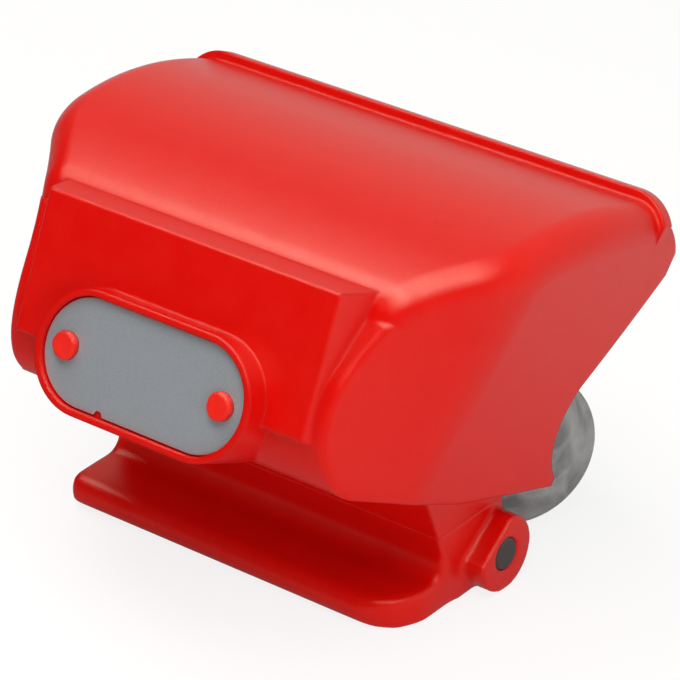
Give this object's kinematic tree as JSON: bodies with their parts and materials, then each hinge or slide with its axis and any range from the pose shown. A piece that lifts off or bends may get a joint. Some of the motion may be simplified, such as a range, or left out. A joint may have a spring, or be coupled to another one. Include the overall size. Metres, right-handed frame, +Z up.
{
  "type": "pneumatic quick coupling",
  "caption": "Two-line air quick coupling: red sprung cover with a hand paddle and bare nameplate, hinged on a grey cast housing with shut-off valves.",
  "frame": {"origin": "middle of the bounding box at the table", "axes": "+X along the hinge pin to the right seen from the nameplate's side, +Y to the back, +Z up"},
  "size_m": [0.1388, 0.119, 0.0947],
  "materials": {
    "red_plastic": "semi-gloss moulding",
    "plate_aluminium": "satin",
    "dark_steel": "blackened",
    "cast_housing": "matte casting",
    "spring_steel": "plain",
    "valve_brass": "turned",
    "seal_rubber": "matte"
  },
  "bodies": {
    "housing": {"housing": "cast_housing", "hinge_pin": "dark_steel", "torsion_spring_left": "spring_steel", "torsion_spring_right": "spring_steel", "valve_insert_left": "valve_brass", "valve_insert_right": "valve_brass", "o_ring_left": "seal_rubber", "o_ring_right": "seal_rubber", "insert_ring_left": "spring_steel", "insert_ring_right": "spring_steel", "face_seal_left": "seal_rubber", "face_seal_right": "seal_rubber", "valve_spring_left": "spring_steel", "valve_spring_right": "spring_steel"},
    "cover": {"cover": "red_plastic", "nameplate": "plate_aluminium"},
    "poppet_left": {"valve_poppet_left": "valve_brass", "poppet_seal_left": "seal_rubber"},
    "poppet_right": {"valve_poppet_right": "valve_brass", "poppet_seal_right": "seal_rubber"}
  },
  "joints": [
    {"name": "cover_hinge", "type": "hinge", "parent": "housing", "child": "cover", "pos_m": [0, 0.00896, 0.0093], "axis": [1, 0, 0], "range_deg": [0, 60], "stiffness_Nm_per_rad": 0.6, "springref_deg": -51.57, "deforming": ["torsion_spring_left", "torsion_spring_right"]},
    {"name": "valve_left", "type": "slide", "parent": "housing", "child": "poppet_left", "axis": [0, 0.6561, -0.7547], "range_m": [0, 0.003], "stiffness_N_per_m": 1500, "springref_m": -0.003, "deforming": ["valve_spring_left"]},
    {"name": "valve_right", "type": "slide", "parent": "housing", "child": "poppet_right", "axis": [0, 0.6561, -0.7547], "range_m": [0, 0.003], "stiffness_N_per_m": 1500, "springref_m": -0.003, "deforming": ["valve_spring_right"]}
  ]
}
